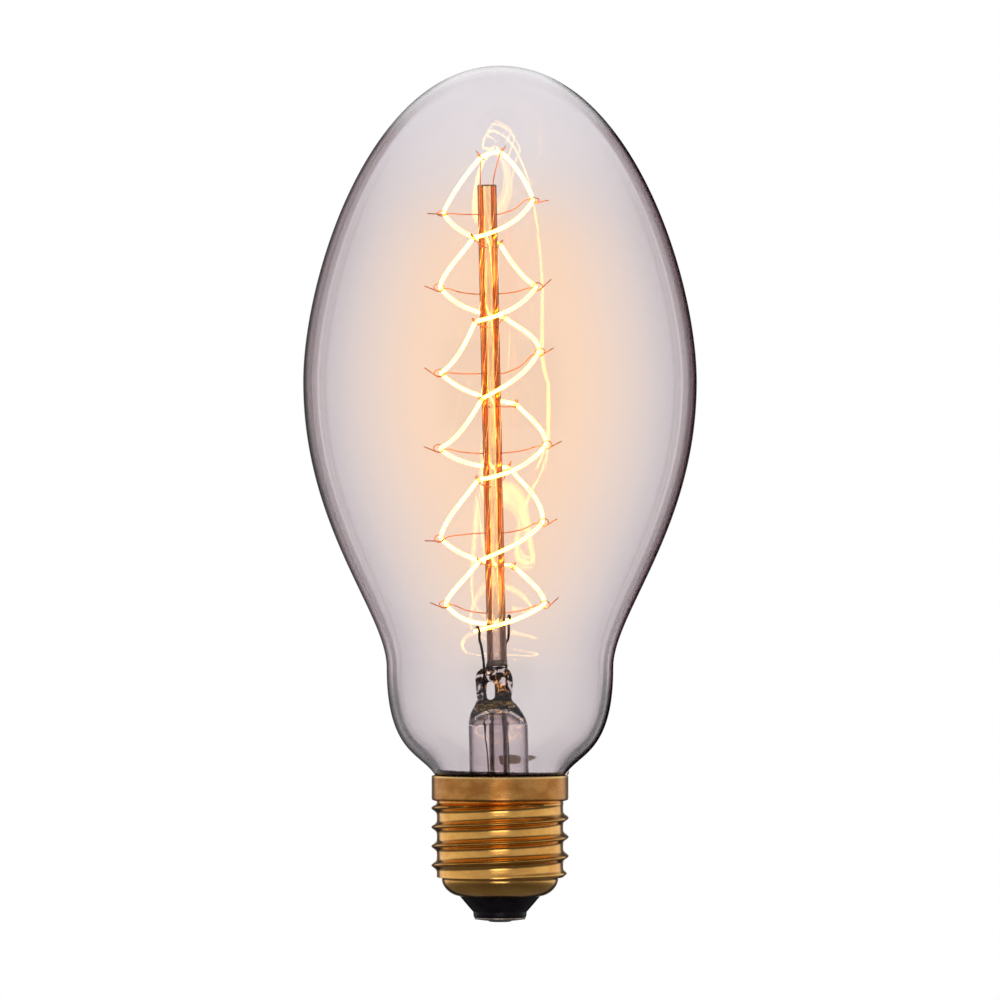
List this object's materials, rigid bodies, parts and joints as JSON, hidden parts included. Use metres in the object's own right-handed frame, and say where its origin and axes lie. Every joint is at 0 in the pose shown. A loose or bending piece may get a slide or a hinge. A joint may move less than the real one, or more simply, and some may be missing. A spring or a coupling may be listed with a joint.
{
  "type": "light bulb",
  "caption": "Clear filament lamp: pear-shaped glass bulb, spiral filament on wire supports round a glass post, and a brass screw cap with a black insulator.",
  "frame": {"origin": "lowest point of the centre contact, on the axis of the cap's thread", "axes": "+Z along the axis of the cap, from the contact to the crown of the glass; +X to the right in the picture, so that the supports called left lie towards -X; -Y towards the camera"},
  "size_m": [0.075, 0.075, 0.163],
  "materials": {
    "bulb_glass": "clear, polished",
    "stem_glass": "clear, fire polished",
    "press_glass": "clear, pinched and fire polished",
    "post_glass": "clear, lit amber by the filament",
    "filament": "glowing coil",
    "support_wire": "drawn wire, heat browned",
    "nickel_wire": "drawn wire",
    "seal_wire": "drawn wire, red oxide",
    "copper_wire": "drawn wire",
    "cap_brass": "rolled sheet, aged satin",
    "cement": "baked, dull",
    "black_insulator": "moulded, glossy",
    "contact_metal": "pressed, dull",
    "solder": "melted button, satin",
    "rim_solder": "melted bead, browned by flux"
  },
  "bodies": {
    "root": {"envelope": "bulb_glass", "stem_flare": "stem_glass", "stem_press": "press_glass", "exhaust_tube": "stem_glass", "centre_post": "post_glass", "filament": "filament", "inner_lead_left": "nickel_wire", "inner_lead_right": "nickel_wire", "seal_wire_left": "seal_wire", "seal_wire_right": "seal_wire", "outer_lead_centre": "copper_wire", "outer_lead_side": "copper_wire", "cap_shell": "cap_brass", "cap_cement": "cement", "cap_insulator": "black_insulator", "centre_contact": "contact_metal", "centre_solder": "solder", "side_solder": "rim_solder", "support_top_left": "support_wire", "support_top_right": "support_wire", "support_left_1": "support_wire", "support_left_2": "support_wire", "support_left_3": "support_wire", "support_left_4": "support_wire", "support_left_5": "support_wire", "support_left_6": "support_wire", "support_right_1": "support_wire", "support_right_2": "support_wire", "support_right_3": "support_wire", "support_right_4": "support_wire", "support_right_5": "support_wire", "support_right_6": "support_wire", "support_front_1": "support_wire", "support_front_2": "support_wire", "support_front_3": "support_wire", "support_front_4": "support_wire", "support_front_5": "support_wire", "support_back_1": "support_wire", "support_back_2": "support_wire", "support_back_3": "support_wire", "support_back_4": "support_wire", "support_back_5": "support_wire"}
  },
  "joints": []
}
